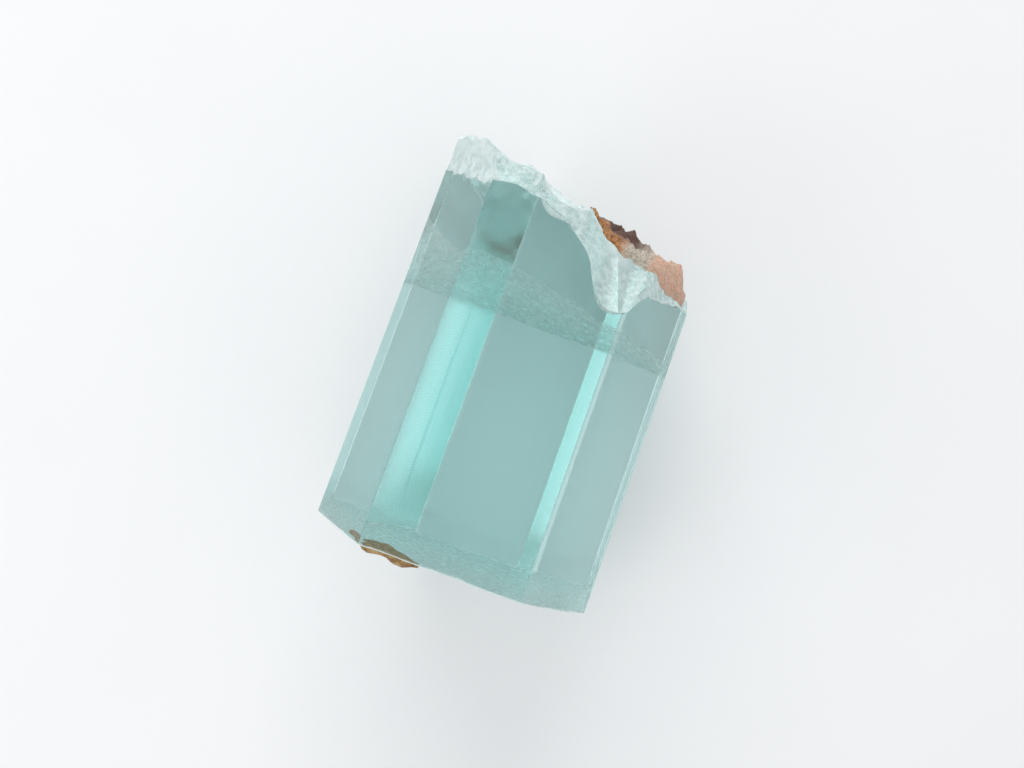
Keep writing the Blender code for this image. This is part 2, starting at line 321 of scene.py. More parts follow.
def points_within(rim, spacing, margin):
    """Points of a triangular grid inside the outline, at least `margin` from it."""
    low = rim.min(axis=0)
    high = rim.max(axis=0)
    rows = np.arange(low[1], high[1], spacing * math.sqrt(3) / 2)
    grid = []
    for index, v in enumerate(rows):
        shift = spacing / 2 if index % 2 else 0.0
        grid += [(u, v) for u in np.arange(low[0] + shift, high[0], spacing)]
    grid = np.array(grid)
    keep = inside(grid, rim) & (rim_distance(grid, rim) > margin)
    return grid[keep]


def triangles_over(rim, inner):
    """Triangles over the outline and the points inside it, as indices into the two taken together."""
    points = [Vector(point) for point in np.vstack((rim, inner))]
    ring = [(index, (index + 1) % len(rim)) for index in range(len(rim))]
    made = delaunay_2d_cdt(points, ring, [], 1, 1e-6)
    source = [first[0] for first in made[3]]
    return [tuple(source[corner] for corner in face) for face in made[2]]


# Surfaces of the stone


def flats(uv, seed, size, height, tilt, crispness):
    """Height of a surface made of tilted flats, each about `size` across, that meet in narrow creases."""
    rng = np.random.default_rng(seed)
    low = np.array(FLATS_LOW)
    high = np.array(FLATS_HIGH)
    count = int(np.prod(high - low) / size**2)
    centres = rng.uniform(low, high, (count, 2))
    level = rng.uniform(-height, height, count)
    slope = rng.normal(0.0, tilt, (count, 2))
    found = np.zeros(len(uv))
    for start in range(0, len(uv), FLATS_AT_ONCE):
        part = slice(start, start + FLATS_AT_ONCE)
        across = uv[part, None, 0] - centres[:, 0]
        up = uv[part, None, 1] - centres[:, 1]
        reach = np.hypot(across, up)
        weight = np.exp(-crispness * (reach - reach.min(axis=1, keepdims=True)))
        surface = level + slope[:, 0] * across + slope[:, 1] * up
        found[part] = (weight * surface).sum(axis=1) / weight.sum(axis=1)
    return found


def rise(value, low, high):
    """A soft step from 0 at `low` to 1 at `high`."""
    share = np.clip((value - low) / (high - low), 0.0, 1.0)
    return share * share * (3.0 - 2.0 * share)


def flat_end(uv):
    """Place along Y of the flat end."""
    u, v = uv.T
    facet = FACET_SLOPE * np.maximum(u - FACET_FROM, 0.0)
    low_slope, low_place = LOW_STEP_LINE
    right_slope, right_place = RIGHT_STEP_LINE
    growth = LOW_STEP * rise(low_place + low_slope * u - v, -STEP_SOFTNESS, STEP_SOFTNESS)
    growth = growth + RIGHT_STEP * rise(u + right_slope * v - right_place, -STEP_SOFTNESS, STEP_SOFTNESS)
    waves = flats(uv, seed=5, size=5.0, height=0.05, tilt=0.008, crispness=4.0)
    return FLAT_END - facet + growth + waves


def rear_wall(uv):
    """Place along Y of the broken end's rear wall, before its roughness."""
    u, v = uv.T
    wall = np.interp(u, REAR_X, REAR_Y) + REAR_LEAN * (REAR_LEAN_TOP - v)
    ledge_slope, ledge_place = LOWER_LEDGE_LINE
    return wall - LOWER_LEDGE * rise(ledge_place + ledge_slope * u - v, 0.0, LOWER_LEDGE_WIDTH)


def break_depth(uv):
    """Depth of points of the cross-section under the prism's upper faces."""
    angle, distance = PRISM_FACES[0][:2]
    return np.minimum(PRISM_HEIGHT - uv[:, 1], face_distance(uv, angle, distance))


def broken_end(uv):
    """Place along Y of the broken end, with the hackles and ledges of the break."""
    u, v = uv.T
    depth = break_depth(uv)
    slope = np.interp(u, FRONT_X, FRONT_Y) + np.interp(u, BREAK_SLOPE_X, BREAK_SLOPE) * depth
    from_start = np.hypot(u - RIPPLE_START[0], v - RIPPLE_START[1])
    ripples = RIPPLE_HEIGHT * np.sin(2 * np.pi * from_start / RIPPLE_LENGTH)
    broad = flats(uv, seed=11, size=3.6, height=0.26, tilt=0.15, crispness=8.0)
    narrow = flats(uv, seed=12, size=1.7, height=0.08, tilt=0.11, crispness=9.0)
    settled = SHALLOW_SHARE + (1.0 - SHALLOW_SHARE) * rise(depth, ROUGHER_FROM, ROUGH_FROM)
    base = np.minimum(slope, rear_wall(uv)) + settled * (ripples + (broad + narrow))
    stretched = uv * np.array(CRUMB_STRETCH)
    crumbs = flats(stretched, seed=13, size=0.9, height=0.05, tilt=0.16, crispness=12.0)
    wander = flats(uv, seed=14, size=1.2, height=1.0, tilt=0.0, crispness=5.0)
    ledge = depth * LEDGES_PER_MM + LEDGE_WANDER * wander
    steps = LEDGE_HEIGHT * (ledge - np.floor(ledge) - 0.5)
    return base + (crumbs + steps) * rise(depth, 0.0, FINE_RELIEF_FROM)


def matrix_thickness(uv):
    """Thickness of the feldspar, thin at its outline and lumpy between."""
    u, v = uv.T
    rim = np.array(MATRIX_OUTLINE)
    edge = rim_distance(uv, rim)
    body = np.interp(u, MATRIX_X, MATRIX_THICK)
    shoulder = rise(MATRIX_TOP - v, 0.0, MATRIX_SHOULDER) * rise(v, *MATRIX_FOOT)
    broad = flats(uv, seed=21, size=2.6, height=0.28, tilt=0.20, crispness=6.0)
    narrow = flats(uv, seed=22, size=1.3, height=0.12, tilt=0.16, crispness=8.0)
    grain = flats(uv, seed=23, size=0.55, height=0.07, tilt=0.22, crispness=14.0)
    rest = 1.0 - MATRIX_LEAST_SHARE
    full = body * (MATRIX_LEAST_SHARE + rest * shoulder)
    full = full + (broad + narrow) * np.minimum(body / MATRIX_LUMPY_FROM, 1.0)
    thinning = MATRIX_LEAST_SHARE + rest * rise(edge, 0.0, MATRIX_EDGE)
    return MATRIX_THINNEST + np.maximum(full - MATRIX_THINNEST, 0.0) * thinning + grain


def crust_thickness(uv):
    """Thickness of the iron crust, with one lump near the crystal's upper edge."""
    u, v = uv.T
    reach = np.hypot((u - CRUST_LUMP[0]) / CRUST_LUMP_SIZE[0], (v - CRUST_LUMP[1]) / CRUST_LUMP_SIZE[1])
    lump = CRUST_LUMP_HEIGHT * (1.0 - rise(reach, CRUST_LUMP_TOP, 1.0))
    thin = rise(rim_distance(uv, np.array(CRUST_OUTLINE)), 0.0, CRUST_EDGE)
    bumps = flats(uv, seed=31, size=1.3, height=0.10, tilt=0.08, crispness=8.0)
    return CRUST_THICK + lump + (CRUST_SWELL + bumps) * thin


def placed(uv, y):
    """Points of the frame, in metres, from the cross-section at places along Y, with its taper and lean."""
    scale = 1.0 - TAPER * y
    x = uv[:, 0] * scale + LEAN * y + AXIS_X
    return MM * np.stack((x, y + AXIS_Y, uv[:, 1] * scale), axis=1)


def closed_between(rings, first_inner, first_faces, last_inner, last_faces):
    """Vertices and faces of a closed solid: a wall through the rings, and caps on the first and last."""
    count = len(rings[0])
    vertices = np.vstack((*rings, first_inner, last_inner))
    last_ring = (len(rings) - 1) * count
    after_rings = len(rings) * count
    after_first = after_rings + len(first_inner)
    faces = []
    for level in range(len(rings) - 1):
        low = level * count
        high = low + count
        for index in range(count):
            following = (index + 1) % count
            faces.append((low + index, low + following, high + following, high + index))
    for face in first_faces:
        faces.append(tuple(i if i < count else after_rings + i - count for i in face))
    for face in last_faces:
        faces.append(tuple(last_ring + i if i < count else after_first + i - count for i in face))
    return vertices, faces


def mesh_piece(name, vertices, faces, material, masks=None, crease=32.0):
    """A closed, smoothly shaded mesh with sharp creases, which stays at the origin."""
    shape = bmesh.new()
    made = [shape.verts.new(Vector(point)) for point in vertices]
    for face in faces:
        shape.faces.new([made[index] for index in face])
    bmesh.ops.recalc_face_normals(shape, faces=shape.faces)
    mesh = bpy.data.meshes.new(name)
    shape.to_mesh(mesh)
    shape.free()
    mesh.shade_smooth()
    mesh.set_sharp_from_angle(angle=math.radians(crease))
    for mask, values in (masks or {}).items():
        attribute = mesh.attributes.new(mask, "FLOAT", "POINT")
        attribute.data.foreach_set("value", np.asarray(values, np.float32))
    mesh.materials.append(material)
    piece = bpy.data.objects.new(name, mesh)
    bpy.context.scene.collection.objects.link(piece)
    return piece


def belongs(piece, slot, *nodes):
    """The piece moves with the stone and may stand for CAD nodes, which are hidden. The slot is not used.
    """
    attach(piece, BODY)
    if nodes:
        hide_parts(*nodes)
    return piece


# Materials


class Finish:
    """A material under construction: its nodes are added and joined with short calls."""

    def __init__(self, name):
        self.material = bpy.data.materials.new(name)
        self.material.use_nodes = True
        self.tree = self.material.node_tree
        self.tree.nodes.clear()
        self.output = self.tree.nodes.new("ShaderNodeOutputMaterial")

    def node(self, kind, inputs=None, **settings):
        made = self.tree.nodes.new(kind)
        for name, value in settings.items():
            setattr(made, name, value)
        for name, value in (inputs or {}).items():
            if isinstance(value, bpy.types.NodeSocket):
                self.tree.links.new(value, made.inputs[name])
            else:
                made.inputs[name].default_value = value
        return made

    def mask(self, name):
        return self.node("ShaderNodeAttribute", attribute_name=name).outputs["Fac"]

    def place(self, scale=(1000.0, 1000.0, 1000.0), turn=(0.0, 0.0, 0.0)):
        """Place on the stone in millimetres, stretched or turned."""
        coordinates = self.node("ShaderNodeTexCoord").outputs["Object"]
        inputs = {"Vector": coordinates, "Scale": scale, "Rotation": turn}
        return self.node("ShaderNodeMapping", inputs).outputs["Vector"]

    def noise(self, place, scale, detail=2.0, rough=0.5, distortion=0.0):
        inputs = {
            "Vector": place,
            "Scale": scale,
            "Detail": detail,
            "Roughness": rough,
            "Distortion": distortion,
        }
        return self.node("ShaderNodeTexNoise", inputs).outputs["Fac"]

    def math(self, operation, first, second=0.0, clamp=False):
        inputs = {0: first, 1: second}
        return self.node("ShaderNodeMath", inputs, operation=operation, use_clamp=clamp).outputs[0]

    def ramp(self, value, low, high, start=0.0, end=1.0):
        """`value` brought from the span low to high onto start to end, softly and without overshoot."""
        inputs = {"Value": value, "From Min": low, "From Max": high, "To Min": start, "To Max": end}
        return self.node("ShaderNodeMapRange", inputs, interpolation_type="SMOOTHSTEP").outputs["Result"]

    def mix(self, share, first, second):
        """Colour between first and second."""
        inputs = {"Factor": share, 6: first, 7: second}
        return self.node("ShaderNodeMix", inputs, data_type="RGBA").outputs[2]

    def bump(self, height, strength, distance, normal=None):
        inputs = {"Height": height, "Strength": strength, "Distance": distance}
        if normal is not None:
            inputs["Normal"] = normal
        return self.node("ShaderNodeBump", inputs).outputs["Normal"]

    def surface(self, shader):
        self.tree.links.new(shader, self.output.inputs["Surface"])

    def volume(self, shader):
        self.tree.links.new(shader, self.output.inputs["Volume"])


def beryl_finish(look):
    """Clear blue-green beryl: glassy upper faces, satin lower ones, and frost where the mask says."""
    finish = Finish("clear_beryl")
    frost = finish.mask("frost")
    place = finish.place()
    speckle = finish.noise(place, scale=1.6, detail=4.0, rough=0.6)
    fine = finish.noise(place, scale=7.0, detail=3.0, rough=0.6)
    patchy = finish.ramp(speckle, 0.38, 0.62, 0.55, 1.0)
    opaque = finish.math("MULTIPLY", finish.math("MULTIPLY", frost, patchy), look.frost_cover)
    clear = finish.math("SUBTRACT", 1.0, opaque)
    satin = finish.math("MULTIPLY", finish.mask("satin"), look.lower_roughness)
    rough = finish.math("ADD", finish.math("MULTIPLY", frost, look.frost_roughness), satin)
    rough = finish.math("MAXIMUM", rough, look.face_roughness)
    colour = finish.mix(opaque, (1.0, 1.0, 1.0, 1.0), (*look.frost_colour, 1.0))
    striae = finish.noise(finish.place((1400.0, 14.0, 1400.0)), scale=1.0, detail=3.0, rough=0.6)
    lines = finish.bump(striae, look.striation, 0.0001)
    pitted = finish.bump(finish.math("MULTIPLY", fine, frost), 0.5, 0.00012, lines)
    shader = finish.node("ShaderNodeBsdfPrincipled", {
        "Base Color": colour,
        "Roughness": rough,
        "Transmission Weight": clear,
        "IOR": BERYL_IOR,
        "Normal": pitted,
    })
    finish.surface(shader.outputs[0])
    depth = finish.node("ShaderNodeVolumeAbsorption", {
        "Color": (*look.absorption_colour, 1.0),
        "Density": look.absorption_density,
    })
    finish.volume(depth.outputs[0])
    return finish.material


def veil_finish(look):
    """A healed fracture: a thin milky film that lets most light through, thicker in streaks and patches."""
    finish = Finish("healed_fracture")
    place = finish.place()
    stretched = finish.place((900.0, 900.0, 160.0))
    streaks = finish.noise(stretched, scale=1.0, detail=4.0, rough=0.6, distortion=0.4)
    patches = finish.noise(place, scale=0.45, detail=3.0, rough=0.55)
    streaky = finish.ramp(streaks, 0.3, 0.75, 0.55, 1.3)
    film = finish.math("MULTIPLY", streaky, finish.ramp(patches, 0.3, 0.7, 0.7, 1.2))
    cover = finish.math("MULTIPLY", film, look.film_cover, clamp=True)
    shader = finish.node("ShaderNodeBsdfPrincipled", {
        "Base Color": (*look.film_colour, 1.0),
        "Roughness": finish.ramp(streaks, 0.3, 0.7, 0.35, 0.6),
        "Alpha": cover,
        "Normal": finish.bump(streaks, 0.3, 0.0001),
    })
    finish.surface(shader.outputs[0])
    return finish.material


def feldspar_finish(look):
    """Pinkish cream feldspar with brown specks, grey quartz, rusty hollows and a dark iron crest."""
    finish = Finish("stained_feldspar")
    crest = finish.mask("crest")
    rust = finish.mask("rust")
    quartz = finish.mask("quartz")
    place = finish.place()
    broad = finish.noise(place, scale=0.9, detail=4.0, rough=0.6)
    fine = finish.noise(place, scale=4.5, detail=4.0, rough=0.65)
    grain = finish.noise(place, scale=14.0, detail=3.0, rough=0.6)
    cleavage = finish.place((1500.0, 900.0, 1500.0), (0.3, 0.2, 0.5))
    veins = finish.node("ShaderNodeTexVoronoi", {"Vector": cleavage, "Scale": 0.9},
                        feature="DISTANCE_TO_EDGE")
    cracks = finish.ramp(veins.outputs["Distance"], 0.0, 0.05, 1.0, 0.0)
    pinkness = finish.ramp(broad, 0.35, 0.65)
    cream = finish.mix(pinkness, (*look.feldspar_colour, 1.0), (*look.pink_colour, 1.0))
    cream = finish.mix(finish.ramp(fine, 0.56, 0.68, 0.0, 0.75), cream, FELDSPAR_SPECK)
    cream = finish.mix(finish.math("MULTIPLY", cracks, 0.55), cream, FELDSPAR_CRACK)
    grey = finish.mix(finish.ramp(fine, 0.4, 0.65), QUARTZ_LIGHT, QUARTZ_DARK)
    body = finish.mix(quartz, cream, grey)
    ochre = finish.mix(finish.ramp(fine, 0.4, 0.6), OCHRE_LIGHT, OCHRE_DARK)
    body = finish.mix(rust, body, ochre)
    iron = finish.mix(finish.ramp(grain, 0.35, 0.65), IRON_DARK, IRON_LIGHT)
    body = finish.mix(crest, body, iron)
    relief = finish.bump(fine, 0.5, 0.00018)
    shader = finish.node("ShaderNodeBsdfPrincipled", {
        "Base Color": body,
        "Roughness": finish.ramp(grain, 0.3, 0.7, 0.45, 0.85),
        "Normal": finish.bump(grain, 0.5, 0.00006, relief),
    })
    finish.surface(shader.outputs[0])
    return finish.material


def limonite_finish(look):
    """Yellow-brown iron crust, darker in its hollows."""
    finish = Finish("limonite_crust")
    place = finish.place()
    broad = finish.noise(place, scale=1.4, detail=4.0, rough=0.6)
    grain = finish.noise(place, scale=9.0, detail=4.0, rough=0.65)
    tone = finish.mix(finish.ramp(broad, 0.35, 0.65), (*look.limonite_colour, 1.0), LIMONITE_SHADE)
    tone = finish.mix(finish.ramp(grain, 0.55, 0.7, 0.0, 0.7), tone, LIMONITE_HOLLOW)
    shader = finish.node("ShaderNodeBsdfPrincipled", {
        "Base Color": tone,
        "Roughness": finish.ramp(grain, 0.3, 0.7, 0.7, 0.95),
        "Normal": finish.bump(grain, 0.6, 0.00012, finish.bump(broad, 0.4, 0.0002)),
    })
    finish.surface(shader.outputs[0])
    return finish.material


def paper_finish(look):
    """White paper with a faint tooth."""
    finish = Finish("white_paper")
    place = finish.place()
    tooth = finish.noise(place, scale=2.5, detail=4.0, rough=0.6)
    cloud = finish.noise(place, scale=0.05, detail=2.0, rough=0.5)
    dimmer = tuple(0.97 * channel for channel in look.paper_colour)
    shade = finish.mix(cloud, (*dimmer, 1.0), (*look.paper_colour, 1.0))
    shader = finish.node("ShaderNodeBsdfPrincipled", {
        "Base Color": shade,
        "Roughness": finish.ramp(tooth, 0.0, 1.0, 0.8, 0.95),
        "Specular IOR Level": 0.2,
        "Normal": finish.bump(tooth, 0.15, 0.00005),
    })
    finish.surface(shader.outputs[0])
    return finish.material


# Pieces


def break_frost(uv):
    """Frost of the broken end, thinner near the upper faces."""
    deeper = rise(break_depth(uv), BREAK_FROST_FROM, BREAK_FROST_FULL)
    return BREAK_EDGE_FROST + (1.0 - BREAK_EDGE_FROST) * deeper


def rind_start(rim, share, broken):
    """Place along Y where the rind starts round the prism, a little before the break everywhere."""
    wander = sum(height * np.sin(rim[:, 1] * rate) for height, rate in RIND_WAVES)
    start = RIND_FROM_VERTEX + (RIND_FROM_RIDGE - RIND_FROM_VERTEX) * share + wander
    return np.minimum(start, broken - RIND_LEAST_LENGTH)


def build_crystal(look):
    """The beryl prism with its flat end, its broken end and the rough rind beside the break."""
    corners, corner_faces = prism_corners()
    rim, source = divided(corners, look.rim_spacing)
    on = np.array([corner_faces[index] for index in source])
    vertex = corner_between(PRISM_FACES[2], PRISM_FACES[3])
    ridge = corner_between(PRISM_FACES[1], PRISM_FACES[2])
    below = np.clip(1.0 - (vertex[1] - rim[:, 1]) / RIND_BELOW, 0.0, 1.0)
    rind = np.where(on == PRISM_FACES[2][0], 1.0, np.where(on == PRISM_FACES[3][0], below, 0.0))
    share = np.clip((rim[:, 1] - vertex[1]) / (ridge[1] - vertex[1]), 0.0, 1.0)
    outward = np.array(RIND_OUTWARD)
    recessed = rim - (rind * RIND_DEPTH * (0.5 + 0.5 * share))[:, None] * outward
    flat = flat_end(rim)
    broken = broken_end(recessed)
    turn = rind_start(rim, share, broken)
    glassy = np.zeros(len(rim))
    rings = [placed(rim, flat)]
    frost = [np.ones(len(rim))]
    for behind, frosted in END_RINGS:
        rings.append(placed(rim, flat + behind))
        frost.append(frosted + glassy)
    for part in WALL_PARTS:
        rings.append(placed(rim, flat + (turn - flat) * part))
        frost.append(glassy)
    rings.append(placed(rim, turn - BEFORE_RIND))
    frost.append(glassy)
    rings.append(placed(rim, turn))
    frost.append(RIND_START_FROST * rind)
    rings.append(placed(recessed, turn + RIND_STEP))
    frost.append(RIND_STEP_FROST * rind)
    relief = flats(rim * RIND_CHIP_STRETCH, seed=41, size=2.0, height=1.0, tilt=0.0, crispness=8.0)
    for part in RIND_PARTS:
        y = turn + RIND_STEP + (broken - turn - RIND_STEP) * part
        around = np.stack((rim[:, 1] * RIND_CHIP_STRETCH, y), axis=1)
        chips = flats(around, seed=42, size=1.1, height=1.0, tilt=0.6, crispness=8.0)
        lift = rind * (RIND_LIFT * relief + RIND_CHIP_LIFT * chips) * math.sin(math.pi * part)
        rings.append(placed(recessed + lift[:, None] * outward, y))
        frost.append(RIND_FROST * rind)
    rings.append(placed(recessed, broken))
    flat_inner = points_within(rim, look.end_spacing, 0.25)
    broken_inner = points_within(recessed, look.break_spacing, 0.6 * look.break_spacing)
    vertices, faces = closed_between(
        rings,
        placed(flat_inner, flat_end(flat_inner)),
        triangles_over(rim, flat_inner),
        placed(broken_inner, broken_end(broken_inner)),
        triangles_over(recessed, broken_inner),
    )
    lower = np.where(np.isin(on, LOWER_FACES), 1.0, 0.0)
    not_on_ends = np.zeros(len(flat_inner) + len(broken_inner))
    masks = {
        "satin": np.concatenate((*[lower] * len(rings), not_on_ends)),
        "frost": np.concatenate(
            (*frost, break_frost(recessed), np.ones(len(flat_inner)), break_frost(broken_inner))),
    }
    piece = mesh_piece("beryl_prism", vertices, faces, beryl_finish(look), masks, crease=20.0)
    return belongs(piece, "aquamarine", "aquamarine_crystal")


def layer_mesh(outline, spacing, base, direction, sunk, thickness):
    """A layer grown on an end of the prism, a hair into it: its vertices, faces and section points."""
    rim, _ = divided(np.array(outline), spacing)
    inner = points_within(rim, spacing, 0.45 * spacing)
    faces = triangles_over(rim, inner)
    low = []
    high = []
    for uv in (rim, inner):
        foot = base(uv)
        low.append(placed(uv, foot - direction * sunk))
        high.append(placed(uv, foot + direction * (LAYER_LEAST + thickness(uv))))
    solid = closed_between((low[0], high[0]), low[1], faces, high[1], faces)
    return (*solid, rim, inner)


def build_matrix(look):
    """The feldspar remnant on the broken end, with its dark crest, rusty hollow and quartz patch."""
    vertices, faces, rim, inner = layer_mesh(
        MATRIX_OUTLINE, look.matrix_spacing, broken_end, 1.0, MATRIX_SUNK, matrix_thickness)
    uv = np.vstack((rim, rim, inner, inner))
    u, v = uv.T
    body = np.interp(u, MATRIX_X, MATRIX_THICK)
    out = np.clip((matrix_thickness(uv) - MATRIX_THINNEST) / np.maximum(body, 0.3), 0.0, 1.2)
    blotch = flats(uv, seed=24, size=1.1, height=0.5, tilt=0.5, crispness=6.0)
    left = 1.0 - rise(u + 0.8 * blotch, 6.5, 9.0)
    crest = left * rise(out + 0.25 * blotch, 0.45, 0.75) * rise(v, 9.0, 14.0)
    rust = left * (1.0 - rise(u + blotch, 4.6, 6.4)) * (1.0 - crest)
    quartz = rise(u + blotch, 5.0, 6.2) * (1.0 - rise(u + blotch, 8.0, 9.4))
    masks = {"crest": crest, "rust": np.clip(rust, 0, 1), "quartz": quartz}
    piece = mesh_piece("feldspar_remnant", vertices, faces, feldspar_finish(look), masks, crease=28.0)
    return belongs(piece, "feldspar", "feldspar_matrix")


def build_crust(look):
    """The thin iron crust with its lump on the flat end."""
    vertices, faces, _, _ = layer_mesh(
        CRUST_OUTLINE, CRUST_SPACING, flat_end, -1.0, CRUST_SUNK, crust_thickness)
    piece = mesh_piece("limonite_crust", vertices, faces, limonite_finish(look), crease=35.0)
    return belongs(piece, "limonite", "iron_crust")


def upper_height(u):
    """Height of the prism's upper faces over places across it."""
    height = np.full(len(u), PRISM_HEIGHT)
    for angle, distance, _, _ in (PRISM_FACES[0], PRISM_FACES[2]):
        turn = math.radians(angle)
        height = np.minimum(height, AXIS_HEIGHT + (distance - u * math.cos(turn)) / math.sin(turn))
    return height


def fracture_place(uv):
    """Place along Y of the main fracture: from its line on the upper faces to its foot at the bottom."""
    u, v = uv.T
    top = upper_height(u)
    line = np.interp(u, FRACTURE_X, FRACTURE_Y)
    share = np.clip((top - v) / top, 0.0, 1.0)
    waves = flats(uv, seed=51, size=2.4, height=0.05, tilt=0.03, crispness=5.0)
    return line + (FRACTURE_FOOT - line) * share + waves


def film_mesh(name, outline, spacing, place, material):
    """A closed film, a few hundredths of a millimetre thick, inside the beryl."""
    rim, _ = divided(np.array(outline), spacing)
    inner = points_within(rim, spacing, 0.45 * spacing)
    faces = triangles_over(rim, inner)
    low = [placed(uv, place(uv) - FILM_HALF) for uv in (rim, inner)]
    high = [placed(uv, place(uv) + FILM_HALF) for uv in (rim, inner)]
    vertices, all_faces = closed_between((low[0], high[0]), low[1], faces, high[1], faces)
    return mesh_piece(name, vertices, all_faces, material, crease=60.0)


def build_fracture(look):
    """The healed fracture that crosses the prism."""
    corners = np.array([corner_between(PRISM_FACES[i - 1], PRISM_FACES[i]) for i in range(6)])
    middle = corners.mean(axis=0)
    outline = middle + (corners - middle) * FRACTURE_SHARE
    piece = film_mesh("main_fracture", outline, FRACTURE_SPACING, fracture_place, veil_finish(look))
    return belongs(piece, "aquamarine")


# Settings


class CrystalSettings(bpy.types.PropertyGroup):
    rim_spacing: FloatProperty(
        name="Rim spacing", description="Spacing of points round the prism, in millimetres", default=0.3)
    break_spacing: FloatProperty(
        name="Break spacing", description="Spacing of points over the broken end, in millimetres",
        default=0.25)
    end_spacing: FloatProperty(
        name="End spacing", description="Spacing of points over the flat end, in millimetres", default=0.45)
    face_roughness: FloatProperty(
        name="Face roughness", description="Roughness of the prism faces", default=0.03,
        subtype="FACTOR")
    lower_roughness: FloatProperty(
        name="Lower roughness", description="Roughness of the two lower side faces", default=0.16,
        subtype="FACTOR")
    frost_roughness: FloatProperty(
        name="Frost roughness", description="Roughness of the frosted ends", default=0.45,
        subtype="FACTOR")
    frost_cover: FloatProperty(
        name="Frost cover", description="How far frost hides what is behind it", default=0.8,
        subtype="FACTOR")
    frost_colour: FloatVectorProperty(
        name="Frost colour", description="Colour of the frosted surfaces", default=(0.85, 1.0, 0.98),
        size=3, subtype="COLOR")
    absorption_colour: FloatVectorProperty(
        name="Absorption colour", description="Colour that light keeps inside the beryl",
        default=(0.25, 0.97, 0.93), size=3, subtype="COLOR")
    absorption_density: FloatProperty(
        name="Absorption density", description="Absorption per metre", default=14.0)
    striation: FloatProperty(
        name="Striation", description="Strength of the growth lines on the prism faces", default=0.05,
        subtype="FACTOR")


class FractureSettings(bpy.types.PropertyGroup):
    film_cover: FloatProperty(
        name="Film cover", description="How far a healed fracture hides what is behind it", default=0.34,
        subtype="FACTOR")
    film_colour: FloatVectorProperty(
        name="Film colour", description="Colour of the healed fracture", default=(0.80, 1.0, 0.97), size=3,
        subtype="COLOR")


class MatrixSettings(bpy.types.PropertyGroup):
    matrix_spacing: FloatProperty(
        name="Matrix spacing", description="Spacing of points over the matrix, in millimetres", default=0.2)
    feldspar_colour: FloatVectorProperty(
        name="Feldspar colour", description="Cream of the feldspar", default=(0.62, 0.44, 0.32), size=3,
        subtype="COLOR")
    pink_colour: FloatVectorProperty(
        name="Pink colour", description="Pink of the feldspar", default=(0.66, 0.38, 0.28), size=3,
        subtype="COLOR")
    limonite_colour: FloatVectorProperty(
        name="Limonite colour", description="Yellow-brown of the crust", default=(0.58, 0.40, 0.19), size=3,
        subtype="COLOR")


class StageSettings(bpy.types.PropertyGroup):
    camera_height: FloatProperty(
        name="Camera height", description="Height of the camera over the paper", default=0.1235,
        unit="LENGTH")
    camera_turn: FloatProperty(
        name="Camera turn", description="Turn of the picture against the prism",
        default=math.radians(20.17), subtype="ANGLE")
    focal_length: FloatProperty(
        name="Focal length", description="Lens of the camera in millimetres", default=38.67)
    paper_colour: FloatVectorProperty(
        name="Paper colour", description="Colour of the paper", default=(0.88, 0.885, 0.89), size=3,
        subtype="COLOR")
    horizon_strength: FloatProperty(
        name="Horizon strength", description="Brightness of the room near the horizon", default=0.32)
    ceiling_strength: FloatProperty(
        name="Ceiling strength", description="Brightness of the room overhead", default=1.0)
    window_power: FloatProperty(
        name="Window power", description="Power of the soft light beyond the broken end, in watts",
        default=2.6)
    side_power: FloatProperty(
        name="Side power", description="Power of the soft light at the left of the picture, in watts",
        default=0.16)


class AQUAMARINE_OT_crystal(bpy.types.Operator):
    """Build the clear beryl prism"""

    bl_idname = "aquamarine.crystal"
    bl_label = "Beryl prism"

    def execute(self, context):
        build_crystal(context.scene.aquamarine_crystal)
        return {"FINISHED"}


class AQUAMARINE_OT_fractures(bpy.types.Operator):
    """Build the healed fracture inside the prism"""

    bl_idname = "aquamarine.fractures"
    bl_label = "Healed fracture"

    def execute(self, context):
        build_fracture(context.scene.aquamarine_fractures)
        return {"FINISHED"}


class AQUAMARINE_OT_matrix(bpy.types.Operator):
    """Build the feldspar remnant on the broken end"""

    bl_idname = "aquamarine.matrix"
    bl_label = "Feldspar remnant"

    def execute(self, context):
        build_matrix(context.scene.aquamarine_matrix)
        return {"FINISHED"}


class AQUAMARINE_OT_crust(bpy.types.Operator):
    """Build the iron crust on the flat end"""

    bl_idname = "aquamarine.crust"
    bl_label = "Iron crust"

    def execute(self, context):
        build_crust(context.scene.aquamarine_matrix)
        return {"FINISHED"}


def soft_light(name, power, size, place, target):
    """A rectangular light, turned towards a point of the frame."""
    data = bpy.data.lights.new(name, "AREA")
    data.shape = "RECTANGLE"
    data.size, data.size_y = size
    data.energy = power
    light = bpy.data.objects.new(name, data)
    bpy.context.scene.collection.objects.link(light)
    light.location = place
    light.rotation_euler = (target - light.location).to_track_quat("-Z", "Y").to_euler()


def lay_paper(look):
    """The sheet of paper under the stone."""
    mesh = bpy.data.meshes.new("paper")
    corners = ((-1, -1), (1, -1), (1, 1), (-1, 1))
    points = [(x * PAPER_HALF, y * PAPER_HALF, -PAPER_GAP) for x, y in corners]
    mesh.from_pydata(points, [], [(0, 1, 2, 3)])
    mesh.materials.append(paper_finish(look))
    paper = bpy.data.objects.new("paper", mesh)
    bpy.context.scene.collection.objects.link(paper)


def set_camera(look):
    """The camera over the prism's axis, looking straight down."""
    data = bpy.data.cameras.new("camera_above")
    data.lens = look.focal_length
    data.sensor_width = SENSOR_WIDTH
    data.clip_start, data.clip_end = CAMERA_REACH
    camera = bpy.data.objects.new("camera_above", data)
    camera.location = (AXIS_X * MM, AXIS_Y * MM, look.camera_height)
    camera.rotation_euler = (0.0, 0.0, look.camera_turn)
    bpy.context.scene.collection.objects.link(camera)
    bpy.context.scene.camera = camera


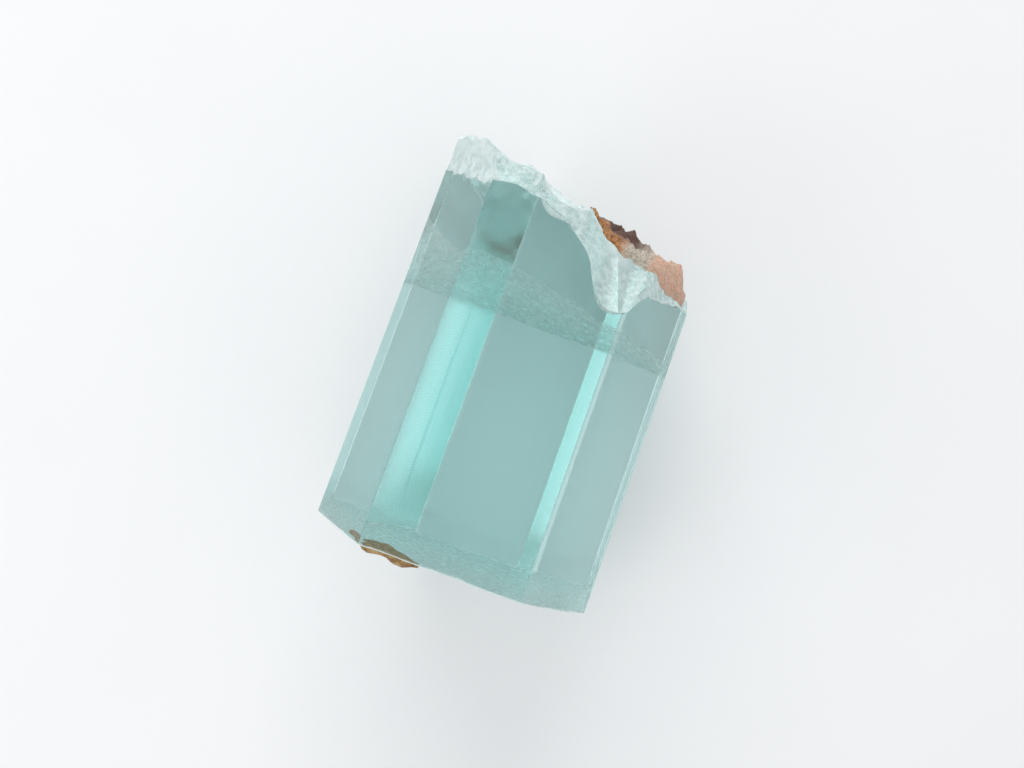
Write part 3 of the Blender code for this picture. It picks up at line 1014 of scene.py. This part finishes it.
def light_room(look):
    """A pale room, brighter overhead than at the horizon."""
    world = bpy.data.worlds.new("soft_room")
    world.use_nodes = True
    nodes = world.node_tree.nodes
    links = world.node_tree.links
    back = nodes["Background"]
    back.inputs["Color"].default_value = ROOM_COLOUR
    direction = nodes.new("ShaderNodeTexCoord")
    parts = nodes.new("ShaderNodeSeparateXYZ")
    height = nodes.new("ShaderNodeMapRange")
    height.inputs["From Min"].default_value = HORIZON_UP_TO
    height.inputs["From Max"].default_value = CEILING_FROM
    height.inputs["To Min"].default_value = look.horizon_strength
    height.inputs["To Max"].default_value = look.ceiling_strength
    links.new(direction.outputs["Generated"], parts.inputs[0])
    links.new(parts.outputs["Z"], height.inputs["Value"])
    links.new(height.outputs["Result"], back.inputs["Strength"])
    bpy.context.scene.world = world


def in_frame(place, turn):
    """A place measured to the picture's right, to its top and up, as a point of the frame."""
    right, top, up = place
    x = right * math.cos(turn) - top * math.sin(turn)
    y = right * math.sin(turn) + top * math.cos(turn)
    return Vector((x, y, up))


def build_stage(look):
    """Paper, camera and lights."""
    lay_paper(look)
    set_camera(look)
    for name, power, size, place, target in (
        ("window_light", look.window_power, WINDOW_SIZE, WINDOW_PLACE, WINDOW_TARGET),
        ("side_light", look.side_power, SIDE_SIZE, SIDE_PLACE, SIDE_TARGET),
    ):
        turn = look.camera_turn
        soft_light(name, power, size, in_frame(place, turn), in_frame(target, turn))
    light_room(look)
    scene = bpy.context.scene
    scene.view_settings.view_transform = "Standard"
    scene.cycles.max_bounces = 24
    scene.cycles.transmission_bounces = 20
    scene.cycles.glossy_bounces = 16
    scene.cycles.diffuse_bounces = 4
    scene.cycles.transparent_max_bounces = 16


class AQUAMARINE_OT_stage(bpy.types.Operator):
    """Lay the paper and set the camera and lights"""

    bl_idname = "aquamarine.stage"
    bl_label = "Paper, camera and lights"

    def execute(self, context):
        build_stage(context.scene.aquamarine_stage)
        return {"FINISHED"}


class AQUAMARINE_PT_panel(bpy.types.Panel):
    bl_idname = "AQUAMARINE_PT_panel"
    bl_label = "Rough aquamarine"
    bl_space_type = "VIEW_3D"
    bl_region_type = "UI"
    bl_category = "Aquamarine"

    def draw(self, context):
        for operator in OPERATORS:
            self.layout.operator(operator.bl_idname)


OPERATORS = (
    AQUAMARINE_OT_crystal,
    AQUAMARINE_OT_fractures,
    AQUAMARINE_OT_matrix,
    AQUAMARINE_OT_crust,
    AQUAMARINE_OT_stage,
)
SETTINGS = {
    "aquamarine_crystal": CrystalSettings,
    "aquamarine_fractures": FractureSettings,
    "aquamarine_matrix": MatrixSettings,
    "aquamarine_stage": StageSettings,
}


def register():
    for name, group in SETTINGS.items():
        bpy.utils.register_class(group)
        setattr(bpy.types.Scene, name, PointerProperty(type=group))
    for item in (*OPERATORS, AQUAMARINE_PT_panel):
        bpy.utils.register_class(item)


def unregister():
    for item in reversed((*OPERATORS, AQUAMARINE_PT_panel)):
        bpy.utils.unregister_class(item)
    for name, group in reversed(SETTINGS.items()):
        delattr(bpy.types.Scene, name)
        bpy.utils.unregister_class(group)


def main():
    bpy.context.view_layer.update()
    register()
    for operator in OPERATORS:
        family, name = operator.bl_idname.split(".")
        getattr(getattr(bpy.ops, family), name)()


if __name__ == "__main__":
    main()
